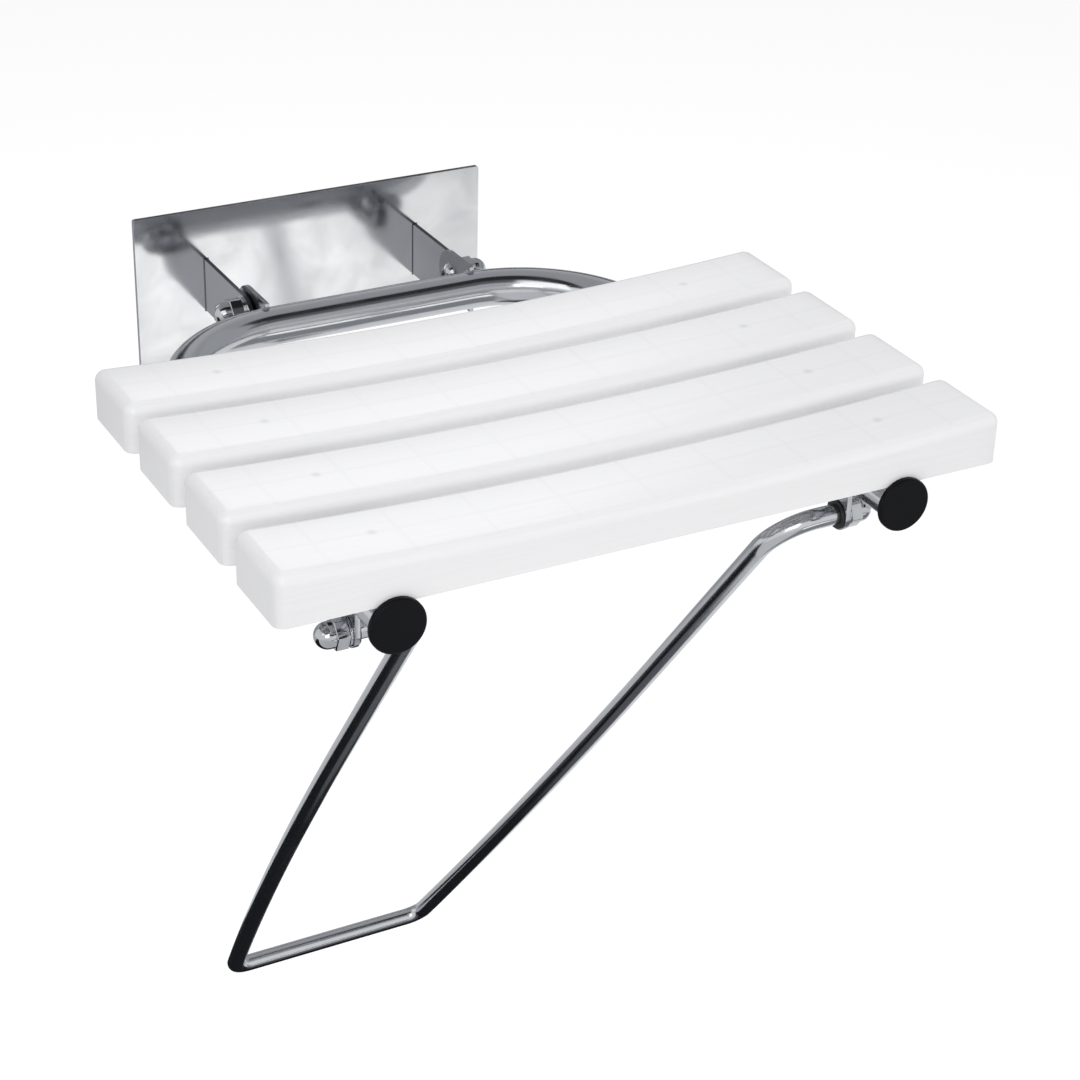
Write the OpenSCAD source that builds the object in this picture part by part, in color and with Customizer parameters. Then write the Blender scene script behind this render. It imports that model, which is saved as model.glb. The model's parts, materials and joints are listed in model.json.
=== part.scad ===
// Fold down wall seat: a bent tube frame with four dished slats, hinged on two wall ears,
// and a bent strut that swings under the seat.
// Origin: centre of the wall face of the wall plate. +X to the right seen from the front,
// +Y into the wall, +Z up. The seat is shown folded down.

/* [Wall plate] */
// Width of the polished cover
cover_w = 254; // [230:1:300]
// Height of the polished cover
cover_h = 107; // [90:1:140]
// Sheet thickness of the cover
cover_t = 0.8; // [0.6:0.1:1.5]
// Thickness of the wall plate under the cover
plate_t = 3; // [2:0.5:6]
// Distance between the wall screw holes, across
screw_span_x = 208; // [190:1:220]
// Distance between the wall screw holes, up and down
screw_span_z = 70; // [50:1:76]
// Diameter of the wall screw holes
wall_hole_d = 6.5; // [4:0.5:8]

/* [Hinge] */
// Distance between the middles of the two ears
ear_span = 155; // [120:1:170]
// Thickness of the ears
ear_t = 3; // [2:0.5:6]
// Height of the ears
ear_h = 37.5; // [34:0.5:50]
// Distance from the wall to the hinge axis
hinge_reach = 71; // [66:1:100]
// Height of the hinge axis above the middle of the wall plate
hinge_z = 7.5; // [2:0.5:9]
// Thickness of the lugs on the seat tube
lug_t = 3; // [2:0.5:6]
// Diameter of the hinge bolts and strut studs
bolt_d = 10; // [8:0.5:10]

/* [Seat tube] */
// Outer diameter of the seat tube
tube_d = 25; // [22:0.5:28]
// Wall thickness of the seat tube
tube_wall = 1.5; // [1:0.1:2.5]
// Distance between the middles of the two side tubes
tube_span = 317; // [290:1:340]
// Bend radius of the rear corners, at the middle of the tube
tube_bend = 89; // [60:1:100]
// Distance from the hinge axis to the middle of the rear cross tube
tube_reach = 31; // [31:0.5:40]

/* [Slats] */
// Length of each slat
slat_l = 450; // [400:1:520]
// Width of each slat
slat_w = 59.5; // [50:0.5:70]
// Gap between the slats
slat_gap = 13.4; // [10:0.1:25]
// Distance from the wall to the back edge of the rear slat
slat_back = 203; // [196:0.5:240]
// Thickness of a slat at its ends
slat_end_h = 31.5; // [28:0.5:38]
// Depth of the dish in the top of each slat
slat_dish = 7; // [3:0.5:9]
// Radius of the long top edges
edge_r = 6; // [3:0.5:8]
// Radius of the top edges at the ends
end_r = 9; // [4:0.5:12]
// Radius of the upright corners
corner_r = 4; // [2:0.5:7]
// Thickness of the slat skin
skin = 3; // [2:0.25:4]
// Thickness of the ribs
rib_t = 2; // [1.5:0.25:3]
// Distance between the cross ribs
rib_pitch = 48; // [40:1:60]
// Depth to which the tube is let into the slats
saddle = 0.5; // [0.3:0.1:3]

/* [End caps] */
// Diameter of the cap heads
cap_d = 33; // [30:0.5:38]
// Thickness of the cap heads
cap_t = 4; // [2.5:0.5:6]
// Length of the cap shanks inside the tube
cap_shank = 18; // [12:1:25]

/* [Strut] */
// Outer diameter of the strut tube
strut_d = 12.7; // [12:0.1:16]
// Wall thickness of the strut tube
strut_wall = 1.5; // [1:0.1:2]
// Length of the strut, from its pivot to the middle of the foot bar
strut_h = 686; // [600:1:720]
// Gap between the foot bar and the wall, taken up when the seat is sat on
foot_gap = 1; // [0.5:0.5:8]
// Length of the straight ends of the strut beside the strut lugs
strut_stub = 13; // [6:0.5:30]
// Distance from the slats' front to the strut pivot
pivot_back = 59; // [50:1:90]
// Drop from the middle of the seat tube to the strut pivot
pivot_drop = 35; // [28:0.5:42]
// Thickness of the strut lugs
strut_lug_t = 3.5; // [2.5:0.5:6]
// Inward lean of the upper legs, in degrees
lean_top = 1.2; // [0.5:0.1:4]
// Inward lean of the legs at the foot bar, in degrees
lean_foot = 6.1; // [4.5:0.1:9]
// Radius of the slow bow in the lower legs
bow_r = 5500; // [4500:50:6000]
// Bend radius at the foot bar
foot_bend = 14; // [11:0.5:25]
// Bend radius at the upper ends
top_bend = 28; // [16:0.5:35]

/* [Fits] */
// Running clearance of bolts and studs in their bushes, on the radius
run_fit = 0.08; // [0.02:0.01:0.1]
// Side clearance between turning faces
side_fit = 0.05; // [0.05:0.05:0.3]
// Clearance of pieces that are only placed in each other
place_fit = 0.15; // [0.05:0.05:0.3]

/* [Hidden] */
$fn = 64;

// Cuts run this far past the face they open
over = 1;

// Witness grooves at the ends of the bends
bar_mark = 0.2;
bar_mark_depth = 0.15;

// Wall plate and cover
cover_depth = plate_t + cover_t;
cover_corner = 1.5;
plate_gap = 0.4;
plate_w = cover_w - 2 * (cover_t + plate_gap);
plate_h = cover_h - 2 * (cover_t + plate_gap);
wall_gap = 0.2;
sink_land = 0.6;
sink_r = wall_hole_d / 2 + plate_t - sink_land;
slot_gap = 0.6;

// Hinge
ear_r = ear_h / 2;
hinge_y = -hinge_reach;
bush_flange = 1;
bush_wall = 1.5;
bush_r = bolt_d / 2 + run_fit;
bush_out_r = bush_r + bush_wall;
bush_flange_r = bush_out_r + 2.5;
ear_in = ear_span / 2 - ear_t / 2;
ear_out = ear_span / 2 + ear_t / 2;
lug_out = ear_in - bush_flange - side_fit;
lug_in = lug_out - lug_t;
lug_r = tube_d / 2 + 3.5;
washer_t = 1.6;
washer_r = bolt_d;
nut_flats = 1.7 * bolt_d;
nut_h = 0.8 * bolt_d;
nut_dome_r = 0.78 * bolt_d;
nut_total = 1.8 * bolt_d;
nut_chamfer = 1.1;
nut_bore = nut_total - nut_dome_r;
thread_in_nut = nut_bore - 0.5;
head_r = 0.78 * bolt_d;
head_h = 0.5 * bolt_d;
key_flats = 0.6 * bolt_d;
key_depth = 0.3 * bolt_d;

// Seat tube
tube_r = tube_d / 2;
tube_in_r = tube_r - tube_wall;
tube_y = hinge_y - tube_reach;
side_x = tube_span / 2;
slats_front = -(slat_back + 4 * slat_w + 3 * slat_gap);
side_tube_l = tube_y - tube_bend - slats_front;
seat_path = [[side_x - tube_bend, tube_bend, -90], [side_tube_l, 0, 0]];
seat_bore_path = [[side_x - tube_bend, tube_bend, -90], [side_tube_l + over, 0, 0]];

// Slats
slat_z = hinge_z + tube_r - saddle;
slat_pitch = slat_w + slat_gap;
dish_r = (pow(slat_l / 2, 2) + pow(slat_dish, 2)) / (2 * slat_dish);
dish_z = slat_z + slat_end_h - slat_dish + dish_r;
dish_half = 1.15 * asin(slat_l / 2 / dish_r);
dish_fn = 1500;
rib_drop = 2;
rib_count = floor((slat_l / 2 - 2 * skin) / rib_pitch);
boss_r = 6;
pilot_r = 1.7;
pilot_depth = 15;
screw_r = 2.4;
screw_core_r = 1.65;
screw_head_r = 4.6;
screw_head_h = 3;
screw_bite = 13;
screw_hole_r = screw_r + 0.25;

// End caps
cap_rim = 1.6;
cap_crown = 0.5;
cap_core_r = tube_in_r - 1.4;
cap_bore_r = cap_core_r - 1.8;
cap_fins = 4;
cap_fin_w = 1.2;
cap_fin_r = tube_in_r - place_fit / 3;

// Strut
strut_r = strut_d / 2;
strut_in_r = strut_r - strut_wall;
pivot_y = slats_front + pivot_back;
pivot_z = hinge_z - pivot_drop;
strut_angle = asin((-pivot_y - strut_r - foot_gap) / strut_h);
strut_lug_r = bush_out_r + 3.4;
strut_lug_in = side_x - strut_lug_t / 2;
strut_lug_out = side_x + strut_lug_t / 2;
strut_end = strut_lug_in - bush_flange - 2 * side_fit;
foot_turn = 90 - lean_foot;
top_turn = 90 - lean_top;
bow_turn = lean_foot - lean_top;
foot_rise = foot_bend * (1 - cos(foot_turn));
bow_rise = bow_r * (cos(foot_turn) - cos(top_turn));
top_rise = top_bend * (1 - cos(top_turn));
leg_line = (strut_h - foot_rise - bow_rise - top_rise) / sin(top_turn);
leg_spread = foot_bend * sin(foot_turn) + bow_r * (sin(top_turn) - sin(foot_turn))
           + leg_line * cos(top_turn) + top_bend * sin(top_turn);
foot_line = strut_end - strut_stub - leg_spread;
spigot_l = strut_stub - 2;
spigot_r = strut_in_r - place_fit / 3;

function strut_path(extra) = [[foot_line, foot_bend, foot_turn], [0, bow_r, bow_turn],
                              [leg_line, top_bend, -top_turn], [strut_stub + extra, 0, 0]];

// Colours
steel = [0.78, 0.79, 0.80];
dull_steel = [0.62, 0.63, 0.65];
white = [0.93, 0.93, 0.92];
black = [0.07, 0.07, 0.08];

// Round bar along +X that turns through the angle in the XY plane, to the left
module turn_left(bend, angle, r) {
    segments = bend > 1000 ? 2880 : 96;
    short = bar_mark / 2 / bend * 180 / PI;
    translate([0, bend, 0]) rotate([0, 0, -90 + short])
        rotate_extrude(angle = angle - 2 * short, $fn = segments)
            translate([bend, 0]) circle(r = r, $fn = 48);
}

// Shallow witness groove that a bend leaves round the bar at each of its ends
module bend_mark(r) {
    translate([-bar_mark, 0, 0]) rotate([0, 90, 0])
        cylinder(h = 2 * bar_mark, r = r - bar_mark_depth, $fn = 48);
}

// Round bar that follows a path of [straight length, bend radius, turn] steps from the origin
module bent_bar(path, r, step = 0) {
    straight = path[step][0];
    bend = path[step][1];
    turn = path[step][2];
    more = step < len(path) - 1;
    start = step > 0 ? bar_mark / 2 : 0;
    if (straight > 0) translate([start, 0, 0]) rotate([0, 90, 0])
        cylinder(h = straight - start - (more ? bar_mark / 2 : 0), r = r, $fn = 48);
    if (turn != 0) translate([straight, 0, 0]) {
        if (straight > 0) bend_mark(r);
        mirror([0, turn < 0 ? 1 : 0, 0]) turn_left(bend, abs(turn), r);
        translate([bend * sin(abs(turn)), sign(turn) * bend * (1 - cos(turn)), 0]) rotate([0, 0, turn]) {
            bend_mark(r);
            bent_bar(path, r, step + 1);
        }
    }
}

// Both halves of a bar that is the same on either side of the middle
module both_sides() {
    children();
    mirror([1, 0, 0]) children();
}

// Places a profile drawn as x = forward of the wall, y = up, as a plate from x0 outwards
module side_plate(x0, t) {
    translate([x0, 0, 0]) rotate([90, 0, 90]) linear_extrude(t) children();
}

// Puts a shape built round Z at the origin on an axis along +X
module along_x(x0, y, z) {
    translate([x0, y, z]) rotate([0, 90, 0]) children();
}

module ring(h, r_out, r_in) {
    difference() {
        cylinder(h = h, r = r_out);
        translate([0, 0, -over]) cylinder(h = h + 2 * over, r = r_in);
    }
}

// Acorn nut that stands on its seat at z = 0, with a blind bore
module acorn_nut() {
    corner_r2 = nut_flats / 2 / cos(30);
    difference() {
        union() {
            intersection() {
                cylinder(h = nut_h, r = corner_r2, $fn = 6);
                rotate_extrude() polygon([[0, 0], [corner_r2 - nut_chamfer, 0], [corner_r2, nut_chamfer / 2],
                                          [corner_r2, nut_h - nut_chamfer / 2],
                                          [corner_r2 - nut_chamfer, nut_h], [0, nut_h]]);
            }
            cylinder(h = nut_bore, r = nut_dome_r);
            translate([0, 0, nut_bore]) sphere(r = nut_dome_r);
        }
        translate([0, 0, -over]) cylinder(h = nut_bore + over, r = bolt_d / 2 + place_fit / 2);
    }
}

// Button head bolt: the head lies below z = 0 and the shank runs up to z = shank
module button_bolt(shank) {
    dome_r = (head_r * head_r + head_h * head_h) / (2 * head_h);
    difference() {
        union() {
            cylinder(h = shank, r = bolt_d / 2);
            intersection() {
                translate([0, 0, dome_r - head_h]) sphere(r = dome_r, $fn = 96);
                translate([0, 0, -head_h]) cylinder(h = head_h, r = head_r);
            }
        }
        translate([0, 0, -head_h - over])
            cylinder(h = key_depth + over, r = key_flats / 2 / cos(30), $fn = 6);
    }
}

// Flanged bush: the sleeve runs from z = 0 into the lug and the flange lies above z = 0
module flanged_bush(sleeve) {
    difference() {
        union() {
            translate([0, 0, -sleeve]) cylinder(h = sleeve, r = bush_out_r);
            cylinder(h = bush_flange, r = bush_flange_r);
        }
        translate([0, 0, -sleeve - over]) cylinder(h = sleeve + bush_flange + 2 * over, r = bush_r);
    }
}

module wall_plate() {
    color(dull_steel) difference() {
        translate([-plate_w / 2, -plate_t, -plate_h / 2]) cube([plate_w, plate_t, plate_h]);
        for (sx = [-1, 1], sz = [-1, 1])
            translate([sx * screw_span_x / 2, 0, sz * screw_span_z / 2]) rotate([90, 0, 0]) {
                translate([0, 0, -over]) cylinder(h = plate_t + 2 * over, r = wall_hole_d / 2);
                translate([0, 0, sink_land])
                    cylinder(h = plate_t - sink_land, r1 = wall_hole_d / 2, r2 = sink_r);
            }
    }
}

module round_rect(w, h, r) {
    square([w - 2 * r, h], center = true);
    square([w, h - 2 * r], center = true);
    for (sx = [-1, 1], sy = [-1, 1])
        translate([sx * (w / 2 - r), sy * (h / 2 - r)]) circle(r = r);
}

module cover_plate() {
    slot_w = ear_t + 2 * slot_gap;
    slot_h = ear_h + 2 * slot_gap;
    color(steel) difference() {
        translate([0, -wall_gap, 0]) rotate([90, 0, 0])
            linear_extrude(cover_depth - wall_gap) round_rect(cover_w, cover_h, cover_corner);
        rotate([90, 0, 0]) translate([0, 0, -over]) linear_extrude(plate_t + over)
            square([cover_w - 2 * cover_t, cover_h - 2 * cover_t], center = true);
        for (side = [-1, 1])
            translate([side * ear_span / 2, -plate_t, 0])
                cube([slot_w, 4 * cover_t, slot_h], center = true);
    }
}

// Ear outline with a full round front end
module ear_outline() {
    difference() {
        union() {
            translate([plate_t, -ear_r]) square([hinge_reach - plate_t, ear_h]);
            translate([hinge_reach, 0]) circle(r = ear_r);
        }
        translate([hinge_reach, hinge_z]) circle(r = bolt_d / 2 + place_fit);
    }
}

module ear(side) {
    color(steel) translate([side * ear_span / 2 - ear_t / 2, 0, 0]) mirror([0, 1, 0])
        rotate([90, 0, 90]) linear_extrude(ear_t) ear_outline();
}

module hinge_bolt() {
    shank = ear_out + washer_t + thread_in_nut - (lug_in - side_fit);
    color(steel) along_x(lug_in - side_fit, hinge_y, hinge_z) button_bolt(shank);
}

module hinge_washer() {
    along_x(ear_out, hinge_y, hinge_z) ring(washer_t, washer_r, bolt_d / 2 + place_fit);
}

module hinge_nut() {
    color(steel) along_x(ear_out + washer_t, hinge_y, hinge_z) acorn_nut();
}

module hinge_bush() {
    along_x(lug_out, hinge_y, hinge_z) flanged_bush(lug_t);
}

module seat_tube_solid(path, r) {
    translate([0, tube_y, hinge_z]) both_sides() bent_bar(path, r);
}

// Lug on the rear tube: round about the hinge axis and coped to the tube
module frame_lug() {
    color(steel) difference() {
        translate([lug_in, 0, 0]) mirror([0, 1, 0]) rotate([90, 0, 90]) linear_extrude(lug_t) {
            translate([hinge_reach, hinge_z]) circle(r = lug_r);
            translate([hinge_reach, hinge_z - lug_r]) square([tube_reach, 2 * lug_r]);
        }
        seat_tube_solid(seat_path, tube_r);
        along_x(lug_in - over, hinge_y, hinge_z)
            cylinder(h = lug_t + 2 * over, r = bush_out_r + place_fit / 3);
    }
}

function slat_mid_y(n) = -(slat_back + slat_w / 2 + (n - 1) * slat_pitch);

module seat_tube() {
    color(steel) difference() {
        seat_tube_solid(seat_path, tube_r);
        seat_tube_solid(seat_bore_path, tube_in_r);
        for (side = [-1, 1], n = [1:4])
            translate([side * side_x, slat_mid_y(n), hinge_z - tube_r - over])
                cylinder(h = tube_d + 2 * over, r = screw_hole_r);
    }
}

// Upright section along the slat: flat below, dished above, with rounded top corners at the ends
module slat_side_outline() {
    corner_x = slat_l / 2 - end_r;
    corner_z = dish_z - sqrt(pow(dish_r + end_r, 2) - pow(corner_x, 2));
    touch_x = corner_x * dish_r / (dish_r + end_r);
    difference() {
        translate([-touch_x, slat_z]) square([2 * touch_x, slat_end_h]);
        translate([0, dish_z]) circle(r = dish_r, $fn = dish_fn);
    }
    translate([-slat_l / 2, slat_z]) square([slat_l, corner_z - slat_z]);
    for (side = [-1, 1]) translate([side * corner_x, corner_z]) circle(r = end_r);
}

// Cross section of a slat swept round the dish axis, which rounds its long top edges
module slat_sweep() {
    depth = slat_end_h + slat_dish + over;
    translate([0, 0, dish_z]) rotate([90, 0, 0]) rotate([0, 0, -90 - dish_half])
        rotate_extrude(angle = 2 * dish_half, $fn = dish_fn) translate([dish_r, 0]) {
            translate([edge_r, -slat_w / 2]) square([depth - edge_r, slat_w]);
            translate([0, -slat_w / 2 + edge_r]) square([depth, slat_w - 2 * edge_r]);
            for (side = [-1, 1]) translate([edge_r, side * (slat_w / 2 - edge_r)])
                circle(r = edge_r, $fn = 48);
        }
}

module slat_blank() {
    intersection() {
        slat_sweep();
        rotate([90, 0, 0]) translate([0, 0, -slat_w / 2]) linear_extrude(slat_w) slat_side_outline();
        translate([0, 0, slat_z - over]) linear_extrude(slat_end_h + 2 * over)
            round_rect(slat_l, slat_w, corner_r);
    }
}

// Hollow of a slat, under an even skin, before the ribs are added
module slat_hollow() {
    difference() {
        translate([-slat_l / 2 + skin, -slat_w / 2 + skin, slat_z - over])
            cube([slat_l - 2 * skin, slat_w - 2 * skin, slat_end_h]);
        translate([0, slat_w / 2, dish_z]) rotate([90, 0, 0])
            cylinder(h = slat_w, r = dish_r + skin, $fn = dish_fn);
    }
}

// Ribs and screw bosses, cut to the hollow so that they end at the skin
module slat_ribs() {
    rib_h = slat_end_h - rib_drop;
    intersection() {
        union() {
            translate([-slat_l / 2, -rib_t / 2, slat_z + rib_drop]) cube([slat_l, rib_t, rib_h]);
            for (n = [-rib_count:rib_count])
                translate([n * rib_pitch - rib_t / 2, -slat_w / 2, slat_z + rib_drop])
                    cube([rib_t, slat_w, rib_h]);
            for (side = [-1, 1])
                translate([side * side_x, 0, slat_z]) cylinder(h = slat_end_h, r = boss_r);
        }
        slat_hollow();
    }
}

module slat(n) {
    color(white) translate([0, slat_mid_y(n), 0]) difference() {
        union() {
            difference() {
                slat_blank();
                slat_hollow();
            }
            slat_ribs();
        }
        for (side = [-1, 1]) {
            translate([side * side_x, 0, slat_z - over])
                cylinder(h = pilot_depth + saddle + over, r = pilot_r);
            translate([side * side_x, slat_w, hinge_z]) rotate([90, 0, 0])
                cylinder(h = 2 * slat_w, r = tube_r + place_fit);
        }
    }
}

// Pan head screw from under the tube into the boss above it
module slat_screw() {
    shank = tube_d + screw_bite;
    translate([0, 0, hinge_z - tube_r]) {
        cylinder(h = tube_d - saddle / 2, r = screw_r);
        cylinder(h = shank, r = screw_core_r);
        difference() {
            translate([0, 0, -screw_head_h]) cylinder(h = screw_head_h, r = screw_head_r);
            translate([0, 0, -screw_head_h - over]) cylinder(h = over + 1.6, r = 1.6, $fn = 6);
        }
    }
}

module slat_screws() {
    color(steel) for (side = [-1, 1], n = [1:4])
        translate([side * side_x, slat_mid_y(n), 0]) slat_screw();
}

module end_cap(side) {
    head_out = cap_d / 2;
    color(black) translate([side * side_x, slats_front, hinge_z]) rotate([90, 0, 0]) difference() {
        rotate_extrude() {
            difference() {
                union() {
                    square([head_out, cap_t - cap_rim]);
                    square([head_out - cap_rim, cap_t]);
                    translate([head_out - cap_rim, cap_t - cap_rim]) circle(r = cap_rim);
                }
                translate([-cap_d, -cap_d]) square([cap_d, 2 * cap_d]);
            }
            polygon([[0, cap_t - over], [head_out - 2 * cap_rim, cap_t - over],
                     [head_out - 2 * cap_rim, cap_t], [0, cap_t + cap_crown]]);
            translate([0, -cap_shank]) square([cap_core_r, cap_shank]);
            for (n = [1:cap_fins])
                translate([0, -n * cap_shank / (cap_fins + 1)]) square([cap_fin_r, cap_fin_w]);
        }
        translate([0, 0, -cap_shank - over]) cylinder(h = cap_shank + over - 1, r = cap_bore_r);
    }
}

// Plate under the side tube, coped to it, with a round lower end about the strut pivot
module strut_lug() {
    color(steel) difference() {
        translate([strut_lug_in, 0, 0]) mirror([0, 1, 0]) rotate([90, 0, 90]) linear_extrude(strut_lug_t) {
            translate([-pivot_y, pivot_z]) circle(r = strut_lug_r);
            translate([-pivot_y - strut_lug_r, pivot_z])
                square([2 * strut_lug_r, pivot_drop - tube_r / 2]);
        }
        seat_tube_solid(seat_path, tube_r);
        along_x(strut_lug_in - over, pivot_y, pivot_z)
            cylinder(h = strut_lug_t + 2 * over, r = bush_out_r + place_fit / 3);
    }
}

module strut_bush() {
    along_x(strut_lug_in, pivot_y, pivot_z) mirror([0, 0, 1]) flanged_bush(strut_lug_t);
}

module strut_solid(extra, r) {
    translate([0, pivot_y, pivot_z]) rotate([90 + strut_angle, 0, 0])
        translate([0, -strut_h, 0]) both_sides() bent_bar(strut_path(extra), r);
}

module strut_tube() {
    color(steel) difference() {
        strut_solid(0, strut_r);
        strut_solid(over, strut_in_r);
    }
}

// Turned stud: a spigot inside the strut end and a thread through the lug
module strut_stud() {
    thread_end = strut_lug_out + side_fit + washer_t + thread_in_nut;
    color(dull_steel) {
        along_x(strut_end - spigot_l, pivot_y, pivot_z) cylinder(h = spigot_l, r = spigot_r);
        along_x(strut_end, pivot_y, pivot_z) cylinder(h = thread_end - strut_end, r = bolt_d / 2);
    }
}

module strut_washer() {
    along_x(strut_lug_out + side_fit, pivot_y, pivot_z)
        ring(washer_t, washer_r - 1, bolt_d / 2 + place_fit);
}

module strut_nut() {
    color(steel) along_x(strut_lug_out + side_fit + washer_t, pivot_y, pivot_z) acorn_nut();
}

wall_plate();
cover_plate();
ear(-1);  // ear_left
ear(1);  // ear_right
mirror([1, 0, 0]) hinge_bolt();  // hinge_bolt_left
hinge_bolt();  // hinge_bolt_right
color(steel) both_sides() hinge_washer();  // hinge_washers
mirror([1, 0, 0]) hinge_nut();  // hinge_nut_left
hinge_nut();  // hinge_nut_right
color(black) both_sides() hinge_bush();  // hinge_bushes
mirror([1, 0, 0]) frame_lug();  // frame_lug_left
frame_lug();  // frame_lug_right
seat_tube();
slat(1);  // slat_1
slat(2);  // slat_2
slat(3);  // slat_3
slat(4);  // slat_4
slat_screws();
end_cap(-1);  // end_cap_left
end_cap(1);  // end_cap_right
mirror([1, 0, 0]) strut_lug();  // strut_lug_left
strut_lug();  // strut_lug_right
color(black) both_sides() strut_bush();  // strut_bushes
strut_tube();
mirror([1, 0, 0]) strut_stud();  // strut_stud_left
strut_stud();  // strut_stud_right
color(steel) both_sides() strut_washer();  // strut_washers
mirror([1, 0, 0]) strut_nut();  // strut_nut_left
strut_nut();  // strut_nut_right
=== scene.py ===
import json
import math
import bmesh
import bpy
from mathutils import Matrix, Vector


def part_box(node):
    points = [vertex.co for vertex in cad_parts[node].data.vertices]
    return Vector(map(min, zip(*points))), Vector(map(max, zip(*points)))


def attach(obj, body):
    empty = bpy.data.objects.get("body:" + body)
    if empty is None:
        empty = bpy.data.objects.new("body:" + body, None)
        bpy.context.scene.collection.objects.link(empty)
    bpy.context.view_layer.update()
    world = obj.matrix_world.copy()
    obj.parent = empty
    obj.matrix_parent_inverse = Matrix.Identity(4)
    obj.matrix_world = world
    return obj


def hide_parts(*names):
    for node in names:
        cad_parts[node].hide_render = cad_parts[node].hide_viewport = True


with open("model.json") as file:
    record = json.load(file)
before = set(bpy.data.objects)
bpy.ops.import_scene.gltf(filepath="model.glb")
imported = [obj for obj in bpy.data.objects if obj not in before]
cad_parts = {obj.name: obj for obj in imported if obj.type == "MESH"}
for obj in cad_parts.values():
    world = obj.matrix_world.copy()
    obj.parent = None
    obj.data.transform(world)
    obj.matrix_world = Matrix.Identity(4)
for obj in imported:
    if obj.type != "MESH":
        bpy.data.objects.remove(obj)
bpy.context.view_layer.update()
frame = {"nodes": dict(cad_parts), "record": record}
scene = bpy.context.scene
mm = 0.001
print("frame loaded with", len(frame["nodes"]), "nodes")

joints = {joint["name"]: joint for joint in frame["record"]["behaviour"]["joints"]}
hinge = Vector(joints["seat_fold"]["pos_m"]) / mm
pivot = Vector(joints["strut_swing"]["pos_m"]) / mm
strutLean = 90 - joints["strut_swing"]["range_deg"][1]


# Helpers for meshes, all worked in millimetres

def boxOf(node):
    return [Vector(corner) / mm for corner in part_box(node)]


# The seat tube stands first, because its line also places the slats and the end caps
seatTube = {"radius": 12.5, "bend": 89}
tubeLow, tubeHigh = boxOf("seat_tube")
tubeZ = (tubeLow.z + tubeHigh.z) / 2
tubeY = tubeHigh.y - seatTube["radius"]
sideX = tubeHigh.x - seatTube["radius"]


def keepPiece(bm, name, material, body, stands=(), smooth=35, weighted=False):
    bmesh.ops.remove_doubles(bm, verts=bm.verts, dist=0.0005)
    bmesh.ops.recalc_face_normals(bm, faces=bm.faces)
    bmesh.ops.scale(bm, vec=(mm, mm, mm), verts=bm.verts)
    for face in bm.faces:
        face.smooth = True
    for edge in bm.edges:
        edge.smooth = len(edge.link_faces) == 2 and edge.calc_face_angle(0) < math.radians(smooth)
    mesh = bpy.data.meshes.new(name)
    bm.to_mesh(mesh)
    bm.free()
    mesh.materials.append(material)
    piece = bpy.data.objects.new(name, mesh)
    scene.collection.objects.link(piece)
    if weighted:  # flat faces keep their flat normals beside the small rounded edges
        normals = piece.modifiers.new("flatFaces", "WEIGHTED_NORMAL")
        normals.keep_sharp = True
    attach(piece, body)
    if stands:
        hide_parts(*stands)


def sharpEdges(bm, angle=30):
    return [e for e in bm.edges if len(e.link_faces) == 2 and e.calc_face_angle(0) > math.radians(angle)]


def softenEdges(bm, size, angle=30, segments=2, edges=None):
    bmesh.ops.bevel(bm, geom=sharpEdges(bm, angle) if edges is None else edges, offset=size,
                    affect="EDGES", segments=segments, profile=0.5, material=-1, clamp_overlap=True)


def nodeCopy(node):
    bm = bmesh.new()
    bm.from_mesh(frame["nodes"][node].data)
    bmesh.ops.scale(bm, vec=(1 / mm, 1 / mm, 1 / mm), verts=bm.verts)
    bmesh.ops.remove_doubles(bm, verts=bm.verts, dist=0.002)
    bmesh.ops.dissolve_limit(bm, angle_limit=math.radians(0.5), verts=bm.verts, edges=bm.edges,
                             use_dissolve_boundaries=False)
    return bm


def turnAbout(bm, verts, degrees, axis):
    bmesh.ops.rotate(bm, verts=verts, cent=(0, 0, 0), matrix=Matrix.Rotation(math.radians(degrees), 3, axis))


def lathe(bm, profile, at, turn, sides=64):
    # profile holds (along the axis, radius) pairs; the axis is +X, turned about Z
    old = set(bm.verts)
    points = [bm.verts.new((along, radius, 0)) for along, radius in profile]
    lines = [bm.edges.new(pair) for pair in zip(points, points[1:])]
    bmesh.ops.spin(bm, geom=points + lines, cent=(0, 0, 0), axis=(1, 0, 0), dvec=(0, 0, 0),
                   angle=math.radians(360), steps=sides, use_merge=True)
    new = [v for v in bm.verts if v not in old]
    bmesh.ops.remove_doubles(bm, verts=new, dist=0.0005)
    new = [v for v in bm.verts if v not in old]
    turnAbout(bm, new, turn, "Z")
    bmesh.ops.translate(bm, verts=new, vec=at)


def arc(centreAlong, centreRadius, radius, start, end, steps):
    # points of a round corner for a lathe profile, angles from the axis
    turns = [math.radians(start + (end - start) * i / steps) for i in range(steps + 1)]
    return [(centreAlong + radius * math.cos(t), centreRadius + radius * math.sin(t)) for t in turns]


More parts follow.
